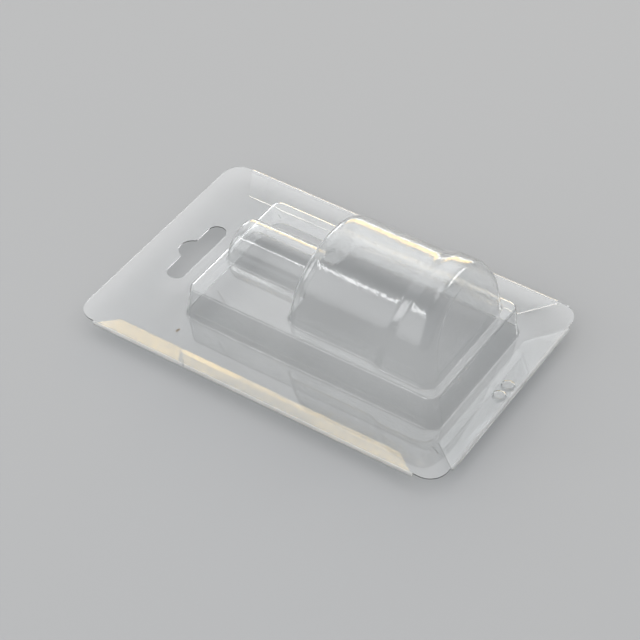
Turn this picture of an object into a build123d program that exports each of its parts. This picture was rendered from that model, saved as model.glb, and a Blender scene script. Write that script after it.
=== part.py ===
from build123d import *
from math import asin, atan2, cos, degrees, hypot, radians, sin, tan
import os

# Slide blister pack: one clear sheet, formed over a mould and folded under along three edges.
# Millimetres. X runs from the hang slot edge to the closed end, Y across, Z up.
# The origin is on the surface that the pack rests on, below the middle of its outline.

# Sheet and flange, with the width of the flange on each side of the tray
sheet = 0.4
flange_height = 4.8
flange_corner = 7.0
side_flange = 20.0
end_flange = 13.2
slot_flange = 32.3

# Hang slot, centred on the width
slot_length = 32.0
slot_height = 7.2
slot_from_edge = 17.6
slot_hump_radius = 5.0
slot_hump_rise = 3.6
slot_hump_round = 1.2

# Flaps folded under the flange, sprung open so that their free edges touch the ground.
# Each fold starts a little way past the round of a corner.
card_gap = 0.8
side_flap = 10.0
end_flap = 12.0
fold_from_slot_corner = 1.0
fold_from_end_corner = 2.5
slot_corner_mitre = 4.9
end_corner_mitre = 10.5
flap_tip_round = 1.2

# Raised tray, with the width of the ledge that its top leaves around the dome and the neck
tray_height = 12.7
tray_corner = 5.0
tray_draft = 7.4
tray_inside_round = 0.8
side_ledge = 2.8
end_ledge = 3.2
neck_ledge = 2.6
foot_round = 0.8

# Half-round dome on the tray, with a wider collar at the closed end
dome_length = 60.6
dome_radius = 23.5
dome_rise = 5.5
dome_inside_round = 4.9
wall_draft = 4.0
end_draft = 9.0
collar_length = 19.7
collar_step = 1.6
crown_flat = 0.5
ring_length = 4.4
ring_draft = 12.0
ring_round = 5.0

# Half-round neck between the dome and the slot end of the tray
neck_length = 34.8
neck_radius = 9.2
neck_rise = 2.9
neck_inside_round = 2.4
neck_junction_round = 2.5

# Two round dimples on the flange, at the middle of the closed end
dimple_radius = 2.6
dimple_height = 0.8
dimple_draft = 30.0
dimple_gap = 0.6
dimple_from_fold = 0.6
dimple_inside_round = 0.3


def wall_y(radius, drop):
    """Half the width across the walls below a half circle, at this drop below the middle of the circle."""
    return (radius + drop * sin(radians(wall_draft))) / cos(radians(wall_draft))


# Places worked out from the sizes above
fold_radius = card_gap / 2 + sheet
collar_radius = dome_radius + collar_step
tray_inset = tray_height * tan(radians(tray_draft))
tray_length = neck_ledge + neck_length + dome_length + end_ledge + 2 * tray_inset
tray_width = 2 * (wall_y(collar_radius, dome_rise) + side_ledge + tray_inset)
pack_length = slot_flange + tray_length + end_flange
pack_width = tray_width + 2 * side_flange
slot_edge_x = -pack_length / 2
end_fold_x = pack_length / 2 - fold_radius
side_fold_y = pack_width / 2 - fold_radius
tray_x = slot_edge_x + slot_flange + tray_length / 2
tray_top_z = flange_height + tray_height
dome_end_x = pack_length / 2 - end_flange - tray_inset - end_ledge
dome_start_x = dome_end_x - dome_length
ring_end_x = dome_end_x - collar_length
ring_start_x = ring_end_x - ring_length
neck_start_x = dome_start_x - neck_length
dimple_x = end_fold_x - dimple_from_fold - dimple_radius
# The dome and the neck reach this far down inside the tray before they are joined to it.
root_depth = tray_height / 2
# The round at the collar's end leaves a little of its crown flat, behind the ring.
crown_leans = tan(radians(ring_draft)) + tan(radians(end_draft))
crown_length = collar_length - (dome_rise + collar_radius) * crown_leans
crown_room = crown_length - crown_flat - ring_round * tan(atan2(collar_step, ring_length) / 2)
collar_end_round = min(dome_inside_round + sheet, crown_room / tan(radians(90 - end_draft) / 2))


def arch(x, radius, rise):
    """Section across the pack at x: a half circle on two drafted walls that reach down into the tray."""
    foot_y = wall_y(radius, rise + root_depth)
    foot_z = tray_top_z - root_depth
    spring_y = radius * cos(radians(wall_draft))
    spring_z = tray_top_z + rise + radius * sin(radians(wall_draft))
    with BuildSketch(Plane.YZ.offset(x)) as section:
        with BuildLine():
            Polyline((-spring_y, spring_z), (-foot_y, foot_z), (foot_y, foot_z), (spring_y, spring_z))
            CenterArc((0, tray_top_z + rise), radius, wall_draft, 180 - 2 * wall_draft)
        make_face()
    return section.sketch


def cross_wall(x, side, draft):
    """Plane of a drafted wall across the pack that meets the tray top at x and faces along side, -1 or 1."""
    lean = radians(draft)
    return Plane((x, 0, tray_top_z), x_dir=(0, 1, 0), z_dir=(side * cos(lean), 0, sin(lean)))


def above_root(edges):
    """The edges that are not on the underside of the dome or the neck, down inside the tray."""
    return edges.filter_by(lambda edge: edge.center().Z > tray_top_z - root_depth + sheet)


def in_plane(edges, plane):
    """The edges that start and end in a plane."""
    return edges.filter_by(lambda edge: plane.contains(edge @ 0) and plane.contains(edge @ 1))


def flap(edge_plane, fold_length, width, start_mitre, end_mitre):
    """A flap folded under the flange. The plane lies on the flange along the fold, with y pointing inward."""
    lean = asin((flange_height - fold_radius) / hypot(fold_radius, width)) - atan2(fold_radius, width)
    turn = 180 - degrees(lean)
    free_edge = width * cos(lean) - fold_radius * sin(lean)
    half = fold_length / 2
    profile_plane = Plane(edge_plane.from_local_coords((-half, 0, 0)), edge_plane.y_dir, edge_plane.x_dir)
    with BuildPart() as folded:
        with BuildSketch(profile_plane):
            with BuildLine():
                outer = CenterArc((0, -fold_radius), fold_radius, 90, turn)
                inner = CenterArc((0, -fold_radius), fold_radius - sheet, 90, turn)
                under = PolarLine(outer @ 1, width + sheet, -degrees(lean))
                over = PolarLine(inner @ 1, width + sheet, -degrees(lean))
                Line(under @ 1, over @ 1)
                Line(outer @ 0, inner @ 0)
            make_face()
        extrude(amount=fold_length)
        with BuildSketch(edge_plane) as outline:
            with BuildLine():
                Polyline(
                    (-half, -2 * fold_radius),
                    (-half, 0),
                    (-half + start_mitre, free_edge),
                    (half - end_mitre, free_edge),
                    (half, 0),
                    (half, -2 * fold_radius),
                    close=True,
                )
            make_face()
            tips = outline.vertices().filter_by(lambda tip: edge_plane.to_local_coords(tip).Y > sheet)
            fillet(tips, radius=flap_tip_round)
        extrude(amount=2 * flange_height, both=True, mode=Mode.INTERSECT)
    return folded.part


with BuildPart() as neck:
    neck_reach = neck_radius + neck_length + dome_length / 2
    extrude(arch(neck_start_x - neck_radius, neck_radius, neck_rise), amount=neck_reach)
    split(bisect_by=cross_wall(neck_start_x, -1, end_draft), keep=Keep.BOTTOM)
    fillet(above_root(neck.faces().sort_by(Axis.X)[0].edges()), radius=neck_inside_round + sheet)

with BuildPart() as collar:
    extrude(arch(ring_start_x, collar_radius, dome_rise), amount=ring_length + collar_length + collar_radius)
    split(bisect_by=cross_wall(ring_end_x, -1, ring_draft), keep=Keep.BOTTOM)
    split(bisect_by=cross_wall(dome_end_x, 1, end_draft), keep=Keep.BOTTOM)

with BuildPart() as bulge:
    extrude(arch(dome_start_x - dome_radius, dome_radius, dome_rise), amount=dome_radius + dome_length)
    split(bisect_by=cross_wall(dome_start_x, -1, end_draft), keep=Keep.BOTTOM)
    split(bisect_by=cross_wall(ring_start_x, -1, ring_draft), keep=Keep.TOP)
    loft([bulge.faces().sort_by(Axis.X)[-1], collar.faces().sort_by(Axis.X)[0]], ruled=True)
    add(collar.part)
    for ring_x in (ring_start_x, ring_end_x):
        ring_edges = in_plane(bulge.edges(), cross_wall(ring_x, -1, ring_draft))
        fillet(above_root(ring_edges), radius=ring_round)
    fillet(above_root(bulge.faces().sort_by(Axis.X)[0].edges()), radius=dome_inside_round + sheet)
    fillet(above_root(bulge.faces().sort_by(Axis.X)[-1].edges()), radius=collar_end_round)
    add(neck.part)
    fillet(above_root(bulge.edges(Select.NEW)), radius=neck_junction_round)

with BuildPart() as blister_shell:
    with BuildSketch(Plane.XY.offset(flange_height)):
        with Locations(((slot_edge_x + end_fold_x) / 2, 0)):
            RectangleRounded(end_fold_x - slot_edge_x, 2 * side_fold_y, flange_corner)
    extrude(amount=-flange_height)
    with BuildSketch(Plane.XY.offset(flange_height)):
        with Locations((tray_x, 0)):
            RectangleRounded(tray_length, tray_width, tray_corner)
    extrude(amount=tray_height, taper=tray_draft)
    tray_foot = blister_shell.edges(Select.LAST).group_by(Axis.Z)[0]
    fillet(blister_shell.faces().sort_by(Axis.Z)[-1].edges(), radius=tray_inside_round + sheet)
    fillet(tray_foot, radius=foot_round)
    add(bulge.part)
    fillet(blister_shell.edges(Select.NEW), radius=foot_round)

    with BuildSketch(Plane.XY.offset(flange_height)):
        with Locations((dimple_x, 0)):
            with GridLocations(0, 2 * dimple_radius + dimple_gap, 1, 2):
                Circle(dimple_radius)
    extrude(amount=dimple_height, taper=dimple_draft)
    dimple_edges = blister_shell.edges(Select.LAST).filter_by(GeomType.CIRCLE).group_by(Axis.Z)
    fillet(dimple_edges[-1], radius=dimple_inside_round + sheet)
    fillet(dimple_edges[0], radius=dimple_inside_round)

    below_flange = blister_shell.faces().filter_by_position(Axis.Z, 0, flange_height - sheet)
    offset(amount=-sheet, openings=below_flange)

    slot_x = slot_edge_x + slot_from_edge
    with BuildSketch(Plane.XY.offset(flange_height)) as hang_slot:
        with Locations((slot_x, 0)):
            SlotOverall(slot_length, slot_height, rotation=90)
            with Locations((slot_hump_radius - slot_height / 2 - slot_hump_rise, 0)):
                Circle(slot_hump_radius)
        hump_feet = hang_slot.vertices().sort_by_distance((slot_x, 0, flange_height))[:2]
        fillet(hump_feet, radius=slot_hump_round)
    extrude(amount=-2 * sheet, mode=Mode.SUBTRACT)

    side_flap_start = slot_edge_x + flange_corner + fold_from_slot_corner
    side_flap_end = end_fold_x - flange_corner - fold_from_end_corner
    side_edge = Plane(((side_flap_start + side_flap_end) / 2, -side_fold_y, flange_height))
    side_fold_length = side_flap_end - side_flap_start
    near_flap = flap(side_edge, side_fold_length, side_flap, slot_corner_mitre, end_corner_mitre)
    add(near_flap)
    add(near_flap.mirror(Plane.XZ))
    end_edge = Plane((end_fold_x, 0, flange_height), x_dir=(0, 1, 0))
    end_fold_length = 2 * (side_fold_y - flange_corner - fold_from_end_corner)
    add(flap(end_edge, end_fold_length, end_flap, end_corner_mitre, end_corner_mitre))

blister_shell.part.label = "blister_shell"
os.makedirs("parts", exist_ok=True)
export_step(blister_shell.part, "parts/blister_shell.step")
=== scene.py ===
# %% [markdown]
# # A clear slide blister pack
# The pack is one thin sheet of clear plastic, formed over a mould and then folded under along three edges.
# Its shape comes from the solid model, so this lesson is about light: clear sheet has almost no colour of its
# own, and what we see is what it mirrors, what it bends and the little that it holds back.

from math import cos, pi, radians, sin

import bpy
from mathutils import Matrix, Quaternion, Vector


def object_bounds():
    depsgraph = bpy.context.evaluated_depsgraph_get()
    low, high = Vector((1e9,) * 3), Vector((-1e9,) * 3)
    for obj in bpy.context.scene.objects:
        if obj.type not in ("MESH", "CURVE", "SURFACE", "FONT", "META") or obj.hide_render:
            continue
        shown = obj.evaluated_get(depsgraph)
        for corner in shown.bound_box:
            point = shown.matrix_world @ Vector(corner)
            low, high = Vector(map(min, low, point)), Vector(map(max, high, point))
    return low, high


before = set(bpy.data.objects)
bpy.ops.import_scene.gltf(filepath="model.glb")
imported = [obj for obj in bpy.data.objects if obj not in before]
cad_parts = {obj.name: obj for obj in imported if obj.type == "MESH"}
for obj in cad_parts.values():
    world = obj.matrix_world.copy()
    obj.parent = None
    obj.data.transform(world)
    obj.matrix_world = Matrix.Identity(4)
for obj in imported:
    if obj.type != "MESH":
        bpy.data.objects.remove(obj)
cad_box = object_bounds()
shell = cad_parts["blister_shell"]
print("shell faces:", len(shell.data.polygons))

# %% [markdown]
# ## Camera
# A long lens from some way off keeps the long edges nearly parallel, as in a product picture. The camera is
# placed by its turn round the pack, its height above the floor and its place, and its axes are written out as
# the columns of a matrix: right, up and back. That is easier to check than a chain of rotations.

# %% Camera
CAMERA_TURN = radians(33.33)
CAMERA_HEIGHT = radians(43.94)
CAMERA_PLACE = Vector((0.3130, -0.4819, 0.5545))
CAMERA_LENS = 126.6
CAMERA_SENSOR = 36
NEAREST_SEEN = 0.01

back = Vector((
    sin(CAMERA_TURN) * cos(CAMERA_HEIGHT),
    -cos(CAMERA_TURN) * cos(CAMERA_HEIGHT),
    sin(CAMERA_HEIGHT),
))
right = Vector((cos(CAMERA_TURN), sin(CAMERA_TURN), 0))
up = back.cross(right)

camera_data = bpy.data.cameras.new("camera")
camera_data.sensor_width = CAMERA_SENSOR
camera_data.lens = CAMERA_LENS
camera_data.clip_start = NEAREST_SEEN
camera = bpy.data.objects.new("camera", camera_data)
camera.matrix_world = Matrix.Translation(CAMERA_PLACE) @ Matrix((right, up, back)).transposed().to_4x4()
bpy.context.scene.collection.objects.link(camera)
bpy.context.scene.camera = camera
print("camera at", [round(c, 4) for c in CAMERA_PLACE])

# %% [markdown]
# ## Floor
# The floor is plain and pale, a large square a hair's breadth under the pack. It is dull, because a glossy
# floor would mirror the light panels and draw the eye away from the pack.

# %% Floor
FLOOR_HALF = 4.0
FLOOR_DROP = 0.00005
FLOOR_COLOUR = (0.50, 0.505, 0.51, 1)
FLOOR_ROUGHNESS = 0.9
FLOOR_GLOSS = 0.1

floor_mesh = bpy.data.meshes.new("floor")
floor_mesh.from_pydata(
    [(x * FLOOR_HALF, y * FLOOR_HALF, -FLOOR_DROP) for x, y in ((-1, -1), (1, -1), (1, 1), (-1, 1))],
    [],
    [(0, 1, 2, 3)],
)
floor = bpy.data.objects.new("floor", floor_mesh)
bpy.context.scene.collection.objects.link(floor)

floor_paint = bpy.data.materials.new("floor_paint")
floor_paint.use_nodes = True
floor_shader = floor_paint.node_tree.nodes["Principled BSDF"]
floor_shader.inputs["Base Color"].default_value = FLOOR_COLOUR
floor_shader.inputs["Roughness"].default_value = FLOOR_ROUGHNESS
floor_shader.inputs["Specular IOR Level"].default_value = FLOOR_GLOSS
floor_mesh.materials.append(floor_paint)
print("floor:", 2 * FLOOR_HALF, "m square")

# %% [markdown]
# ## Light
# Clear sheet shows up by what it mirrors, so the light is planned backwards: for each face of the pack, where
# does the camera's ray go after it is mirrored there? A soft panel stands in each of those places, like the
# paper screens round a product table. Blender asks for a lamp's power, but here it matters how bright a panel
# looks in a mirror, so the helper takes that brightness and works out the power from the panel's area.

# %% Light panel helper
AIM = Vector((0, 0, 0.02))
PANEL_DISTANCE = 1.3
WHITE = (1.0, 1.0, 1.0)


def light_panel(name, direction, width, height, radiance, colour=WHITE, lean=0):
    """A soft rectangular light that faces the pack. Radiance is how bright the panel looks when mirrored."""
    data = bpy.data.lights.new(name, "AREA")
    data.shape = "RECTANGLE"
    data.size = width
    data.size_y = height
    data.color = colour
    data.energy = radiance * pi * width * height
    toward = Vector(direction).normalized()
    lamp = bpy.data.objects.new(name, data)
    lamp.location = AIM + toward * PANEL_DISTANCE
    lamp.rotation_mode = "QUATERNION"
    upright = toward.to_track_quat("Z", "Y")
    lamp.rotation_quaternion = upright @ Quaternion((0, 0, 1), radians(lean))
    lamp.visible_camera = False
    bpy.context.scene.collection.objects.link(lamp)
    print(name, "at", [round(c, 2) for c in lamp.location])


print("panels stand", PANEL_DISTANCE, "m from the pack")

# %% [markdown]
# Three lights stand low behind the pack. The flaps that lean under the flange and the far side of each crest
# look there, and take their gold from the warm panel. A crest curves on and looks lower still, so a thin
# strip at the floor edges its gold with white. The rims on the slot side look further left, at a strip of
# their own. It is low and narrow, so that a flat face mirrors it only from near the floor.

# %% Panels behind the pack
WARM = (1.0, 0.69, 0.21)
COOL = (0.95, 0.98, 1.0)
light_panel("warm_back_panel", (-0.30, 0.93, 0.17), width=0.85, height=0.24, radiance=3.3, colour=WARM)
light_panel("horizon_strip", (-0.36, 0.92, 0.03), width=1.1, height=0.07, radiance=4.0, colour=COOL)
light_panel("white_back_strip", (-0.79, 0.60, 0.09), width=0.35, height=0.10, radiance=12.0, colour=COOL)

# %% [markdown]
# Three more draw the bright lines by which a clear half-round reads as round. The near side of the dome looks
# to the front left, where a narrow strip draws one line along it. The step round the dome looks low to the
# left. The rim at the closed end curves, so what it mirrors runs along a slanting arc on the right, and the
# panel there leans to follow the arc.

# %% Panels for the dome
light_panel("front_strip", (-0.40, -0.55, 0.74), width=0.8, height=0.045, radiance=10.0)
light_panel("left_panel", (-0.89, -0.33, 0.31), width=0.45, height=0.6, radiance=2.5)
light_panel("right_panel", (0.39, 0.65, 0.64), width=0.95, height=0.22, radiance=4.2, lean=-48)

# %% [markdown]
# ## Helpers for shader nodes
# The room and the sheet are both small graphs of nodes. Making each node in one call, with its settings and
# with what goes into its sockets, keeps a graph readable from top to bottom. Colours are mixed several times,
# so that has a helper of its own, which picks out the mix node's sockets for colours.

# %% Shader node helpers
def add_node(tree, kind, settings=None, inputs=None):
    """Add a shader node. An input is a plain value, or the output socket of another node to link from."""
    node = tree.nodes.new(kind)
    for name, value in (settings or {}).items():
        setattr(node, name, value)
    for key, value in (inputs or {}).items():
        if isinstance(value, bpy.types.NodeSocket):
            tree.links.new(value, node.inputs[key])
        else:
            node.inputs[key].default_value = value
    return node


MIX_SHARE, MIX_FIRST, MIX_SECOND, MIX_RESULT = 0, 6, 7, 2


def mix_colours(tree, share, first, second, blend="MIX"):
    """Mix two colours. Share is how much of the second one is taken."""
    return add_node(
        tree,
        "ShaderNodeMix",
        {"data_type": "RGBA", "blend_type": blend},
        {MIX_SHARE: share, MIX_FIRST: first, MIX_SECOND: second},
    ).outputs[MIX_RESULT]


print("node helpers:", add_node.__name__, "and", mix_colours.__name__)

# %% [markdown]
# ## Room
# The rest of the room is a plain band of light all round with a dark ceiling above it. The band gives every
# flat face a little sheen from any side, and the dark ceiling leaves a dark stripe along the dome between two
# bright ones. A colour ramp does this: it reads how high a ray points, from level at 0 to straight up at 1.

# %% Band of light
# How high a ray points, and how bright the room is there
BAND = ((0.0, 0.34), (0.30, 0.40), (0.75, 0.40), (0.93, 0.12), (1.0, 0.06))
BAND_TINT = (0.98, 1.0, 1.03)

world = bpy.data.worlds.new("studio")
world.use_nodes = True
room = world.node_tree
ray = add_node(room, "ShaderNodeTexCoord").outputs["Generated"]
ray_height = add_node(room, "ShaderNodeSeparateXYZ", inputs={0: ray}).outputs["Z"]
band = add_node(room, "ShaderNodeValToRGB", inputs={0: ray_height})
stops = band.color_ramp.elements
for height, _ in BAND[1:-1]:
    stops.new(height)
for stop, (height, level) in zip(stops, BAND):
    stop.position = height
    stop.color = (*(level * share for share in BAND_TINT), 1)
print("band of light:", [round(stop.position, 2) for stop in stops])

# %% [markdown]
# Three soft glows stand in the band. One is where the flange looks, so that the flange is paler than the slot
# cut in it. One is in front of the dome. The last is overhead and shows the flange and its slot from above.
# A glow is the dot product of a ray with the glow's direction, which falls off evenly on all sides.

# %% Glows
# Each glow's direction, its spread in degrees and its brightness
GLOWS = (
    (Vector((-0.42, 0.52, 0.74)).normalized(), 44, 1.5),
    (Vector((-0.40, -0.80, 0.42)).normalized(), 34, 1.2),
    (Vector((0.04, 0.04, 1.0)).normalized(), 20, 1.6),
)
GLOW_CORE = 6

room_light = band.outputs[0]
for direction, spread, level in GLOWS:
    nearness = add_node(
        room, "ShaderNodeVectorMath", {"operation": "DOT_PRODUCT"}, {0: ray, 1: direction}
    ).outputs["Value"]
    glow = add_node(
        room,
        "ShaderNodeMapRange",
        {"interpolation_type": "SMOOTHSTEP"},
        {
            "Value": nearness,
            "From Min": cos(radians(spread)),
            "From Max": cos(radians(GLOW_CORE)),
            "To Max": level,
        },
    ).outputs[0]
    room_light = mix_colours(room, share=1.0, first=room_light, second=glow, blend="ADD")
room.links.new(room_light, room.nodes["Background"].inputs["Color"])
bpy.context.scene.world = world
bpy.context.scene.view_settings.view_transform = "Standard"
print("room light:", len(BAND), "levels and", len(GLOWS), "glows")

# %% [markdown]
# ## Hairline marks
# Handling leaves fine scratches, a nick and a few specks in clear sheet, and folding leaves creases. Each one
# is a line with soft edges. A painted mask would need an unwrapped mesh, so the line is measured in space
# instead: the mask comes from the distance to the line between two points. One node group does the measuring
# for every mark.

# %% Hairline mark group
# A mark is at its full strength within this share of its width
FULL_SHARE = 0.5


def hairline_mark_group():
    """A node group whose mask is one near the line from Start to End, and zero further off than Width."""
    group = bpy.data.node_groups.new("hairline_mark", "ShaderNodeTree")
    for name, kind in (("Place", "Vector"), ("Start", "Vector"), ("End", "Vector"), ("Width", "Float")):
        group.interface.new_socket(name, in_out="INPUT", socket_type="NodeSocket" + kind)
    group.interface.new_socket("Mask", in_out="OUTPUT", socket_type="NodeSocketFloat")
    given = add_node(group, "NodeGroupInput").outputs

    def vector_math(operation, output, *inputs):
        return add_node(
            group, "ShaderNodeVectorMath", {"operation": operation}, dict(enumerate(inputs))
        ).outputs[output]

    line = vector_math("SUBTRACT", 0, given["End"], given["Start"])
    from_start = vector_math("SUBTRACT", 0, given["Place"], given["Start"])
    along = vector_math("DOT_PRODUCT", "Value", from_start, line)
    whole = vector_math("DOT_PRODUCT", "Value", line, line)
    share = add_node(
        group, "ShaderNodeMath", {"operation": "DIVIDE", "use_clamp": True}, {0: along, 1: whole}
    ).outputs[0]
    nearest = add_node(
        group, "ShaderNodeVectorMath", {"operation": "SCALE"}, {"Vector": line, "Scale": share}
    ).outputs[0]
    distance = vector_math("DISTANCE", "Value", from_start, nearest)
    full_within = add_node(
        group, "ShaderNodeMath", {"operation": "MULTIPLY"}, {0: given["Width"], 1: FULL_SHARE}
    ).outputs[0]
    mask = add_node(
        group,
        "ShaderNodeMapRange",
        {"interpolation_type": "SMOOTHSTEP"},
        {"Value": distance, "From Min": given["Width"], "From Max": full_within},
    ).outputs[0]
    add_node(group, "NodeGroupOutput", inputs={"Mask": mask})
    return group


hairline_mark = hairline_mark_group()
print("hairline mark nodes:", len(hairline_mark.nodes))

# %% [markdown]
# ## Clear sheet
# The sheet bends and mirrors light as clear plastic does: it lets nearly everything through, has the index
# of refraction of this plastic, and has almost no colour. Millimetres are used inside the material, so that
# its marks can be placed by their real sizes.

# %% Clear plastic
MM = 0.001
SHEET_IOR = 1.57

sheet_material = bpy.data.materials.new("clear_sheet_look")
sheet_material.use_nodes = True
sheet = sheet_material.node_tree
sheet_shader = sheet.nodes["Principled BSDF"]
sheet_shader.inputs["IOR"].default_value = SHEET_IOR
sheet_shader.inputs["Transmission Weight"].default_value = 1.0

metres = add_node(sheet, "ShaderNodeTexCoord").outputs["Object"]
place = add_node(
    sheet, "ShaderNodeVectorMath", {"operation": "SCALE"}, {"Vector": metres, "Scale": 1 / MM}
).outputs[0]
shell.data.materials[0] = sheet_material
print("sheet index of refraction:", SHEET_IOR)

# %% [markdown]
# The marks come first. A helper places the group once for each mark, and the masks are joined by taking the
# largest of them, so that marks that cross don't add up.

# %% Mark helpers
def sheet_math(operation, *inputs):
    """A step of arithmetic on values that change over the sheet."""
    return add_node(sheet, "ShaderNodeMath", {"operation": operation}, dict(enumerate(inputs))).outputs[0]


def marks(lines):
    """One mask for several marks, each given by its start, its end and its width in millimetres."""
    joined = None
    for start, end, width in lines:
        mask = add_node(
            sheet,
            "ShaderNodeGroup",
            {"node_tree": hairline_mark},
            {"Place": place, "Start": start, "End": end, "Width": width},
        ).outputs["Mask"]
        joined = mask if joined is None else sheet_math("MAXIMUM", joined, mask)
    return joined


print("mark helpers:", sheet_math.__name__, "and", marks.__name__)

# %% [markdown]
# A scratch scatters a little of the light, so it is greyer than the sheet round it. The dirt is a brown grain
# that has stuck to the flange. A list of named marks is easier to change than one painted picture of them.

# %% Scratches and dirt
# Each mark's start, end and width
SCRATCHES = {
    "scratch on the tray": ((-31.5, -23.5, 17.5), (-25.4, -27.3, 17.5), 0.22),
    "nick in the near fold": ((-29.1, -48.0, 4.8), (-27.5, -50.0, 4.4), 0.40),
    "first scuff by the near corner": ((64.4, -35.6, 4.8), (65.6, -36.2, 4.8), 0.40),
    "second scuff by the near corner": ((66.2, -36.4, 4.8), (67.2, -37.0, 4.8), 0.40),
    "scratch on the far corner of the tray": ((-41.8, 28.3, 11.8), (-39.6, 28.3, 8.0), 0.35),
    "speck on the near flange": ((9.7, -43.8, 4.8), (9.9, -43.8, 4.8), 0.35),
    "speck by the closed end of the dome": ((54.0, 2.8, 20.3), (54.0, 3.0, 20.3), 0.40),
}
DIRT_GRAIN = ((-39.4, -37.5, 4.8), (-39.1, -36.4, 4.8), 0.55)
CLEAR = (0.985, 0.99, 0.99, 1)
SCRATCHED = (0.50, 0.51, 0.52, 1)
DIRT = (0.27, 0.17, 0.08, 1)

scratched = marks(SCRATCHES.values())
dirty = marks([DIRT_GRAIN])
tint = mix_colours(sheet, scratched, CLEAR, SCRATCHED)
tint = mix_colours(sheet, dirty, tint, DIRT)
sheet.links.new(tint, sheet_shader.inputs["Base Color"])
print("marks:", len(SCRATCHES), "scratches and specks, and a grain of dirt")

# %% [markdown]
# Plastic that is bent sharply turns a little milky along the crease. Three edges are folded under, so there
# are three creases, just inside the sides of the pack's box. They could be painted paler, but clear sheet is
# pale only where it scatters light, so the next step gives them roughness instead.

# %% Creases
CREASE_WIDTH = 0.9
CREASE_INSET = 0.4
CREASE_HEIGHT = 4.1
# Where the folds start and end, from the middle of the pack
SIDE_FOLD = (-67.0, 64.7)
END_FOLD = (-39.7, 39.7)

low, high = (corner / MM for corner in cad_box)
end_x = high.x - CREASE_INSET
crease_ends = [[(end_x, y, CREASE_HEIGHT) for y in END_FOLD]]
for side_y in (low.y + CREASE_INSET, high.y - CREASE_INSET):
    crease_ends.append([(x, side_y, CREASE_HEIGHT) for x in SIDE_FOLD])
creased = marks([(start, end, CREASE_WIDTH) for start, end in crease_ends])
print("creases:", len(crease_ends))

# %% [markdown]
# The rest of the sheet has a faint haze that comes and goes, as handled plastic does, so no two stretches of
# a mirrored line are equally sharp. Scratches, dirt and creases are rougher, and are added to the haze.

# %% Roughness
HAZE_SCALE = 0.08
HAZE_DETAIL = 3
HAZE_RANGE = (0.01, 0.06)
SCRATCH_ROUGHNESS = 0.4
DIRT_ROUGHNESS = 0.5
CREASE_ROUGHNESS = 0.45


def noise(scale, detail):
    """Soft clouds over the sheet. Scale is how many of them there are in a millimetre."""
    return add_node(
        sheet, "ShaderNodeTexNoise", inputs={"Vector": place, "Scale": scale, "Detail": detail}
    ).outputs[0]


haze = add_node(
    sheet,
    "ShaderNodeMapRange",
    inputs={"Value": noise(HAZE_SCALE, HAZE_DETAIL), "To Min": HAZE_RANGE[0], "To Max": HAZE_RANGE[1]},
).outputs[0]
rough = sheet_math("MULTIPLY_ADD", scratched, SCRATCH_ROUGHNESS, haze)
rough = sheet_math("MULTIPLY_ADD", dirty, DIRT_ROUGHNESS, rough)
rough = sheet_math("MULTIPLY_ADD", creased, CREASE_ROUGHNESS, rough)
sheet.links.new(rough, sheet_shader.inputs["Roughness"])
print("haze from", *HAZE_RANGE)

# %% [markdown]
# The sheet isn't perfectly smooth. Where it was drawn up over the mould it took a faint ripple, which breaks
# a mirrored line into a ragged one, and the flat flange has only a long slow wave. These are hundredths of a
# millimetre deep, far too shallow for the mesh, so they are bump.

# %% Ripple and wave
RIPPLE_SCALE = 0.55
RIPPLE_DETAIL = 4
RIPPLE_DEPTH = 0.06
WAVE_SCALE = 0.05
WAVE_DETAIL = 1
WAVE_DEPTH = 0.08
GROOVE_DEPTH = 0.02
TRAY_TOP = 17.5
FULLY_DRAWN = 24.0

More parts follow.
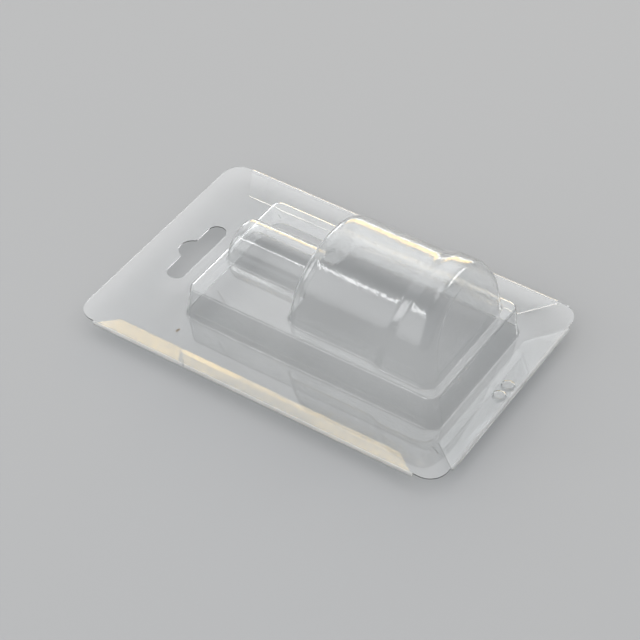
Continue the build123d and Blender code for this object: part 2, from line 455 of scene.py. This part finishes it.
drawn_up = add_node(
    sheet,
    "ShaderNodeMapRange",
    {"interpolation_type": "SMOOTHSTEP"},
    {
        "Value": add_node(sheet, "ShaderNodeSeparateXYZ", inputs={0: place}).outputs["Z"],
        "From Min": TRAY_TOP,
        "From Max": FULLY_DRAWN,
    },
).outputs[0]
ripple = sheet_math("MULTIPLY", noise(RIPPLE_SCALE, RIPPLE_DETAIL), RIPPLE_DEPTH)
relief = sheet_math("MULTIPLY", ripple, drawn_up)
relief = sheet_math("MULTIPLY_ADD", noise(WAVE_SCALE, WAVE_DETAIL), WAVE_DEPTH, relief)
relief = sheet_math("MULTIPLY_ADD", scratched, -GROOVE_DEPTH, relief)
bump = add_node(sheet, "ShaderNodeBump", inputs={"Height": relief, "Distance": MM})
sheet.links.new(bump.outputs[0], sheet_shader.inputs["Normal"])
print("ripple", RIPPLE_DEPTH, "mm and wave", WAVE_DEPTH, "mm")

# %% [markdown]
# Rays from lamps go straight through the sheet, so that the floor below is lit through it and only the steep
# walls and the folds leave a shadow. Real refraction would do the same, but slowly and with much noise.

# %% Light through the sheet
SHADE_BLEND = 0.25
SHADE_FLAT = (0.955, 0.96, 0.96, 1)
SHADE_STEEP = (0.25, 0.26, 0.27, 1)

light_path = add_node(sheet, "ShaderNodeLightPath").outputs
facing = add_node(sheet, "ShaderNodeLayerWeight", inputs={"Blend": SHADE_BLEND}).outputs["Facing"]
shade = mix_colours(sheet, facing, SHADE_FLAT, SHADE_STEEP)
passes = add_node(sheet, "ShaderNodeBsdfTransparent", inputs={"Color": shade}).outputs[0]
lights_floor = sheet_math("MAXIMUM", light_path["Is Shadow Ray"], light_path["Is Diffuse Ray"])
surface = add_node(
    sheet, "ShaderNodeMixShader", inputs={0: lights_floor, 1: sheet_shader.outputs[0], 2: passes}
)
sheet.links.new(surface.outputs[0], sheet.nodes["Material Output"].inputs["Surface"])
print("sheet nodes:", len(sheet.nodes))

# %% [markdown]
# Light that runs along inside the sheet bounces many times before it leaves at a cut edge, so the ray tracer
# is allowed more bounces than usual. Without them the edges turn dark.

# %% Bounces
BOUNCES = 32
bpy.context.scene.cycles.max_bounces = BOUNCES
bpy.context.scene.cycles.transmission_bounces = BOUNCES
bpy.context.scene.cycles.glossy_bounces = BOUNCES
print("bounces:", BOUNCES)
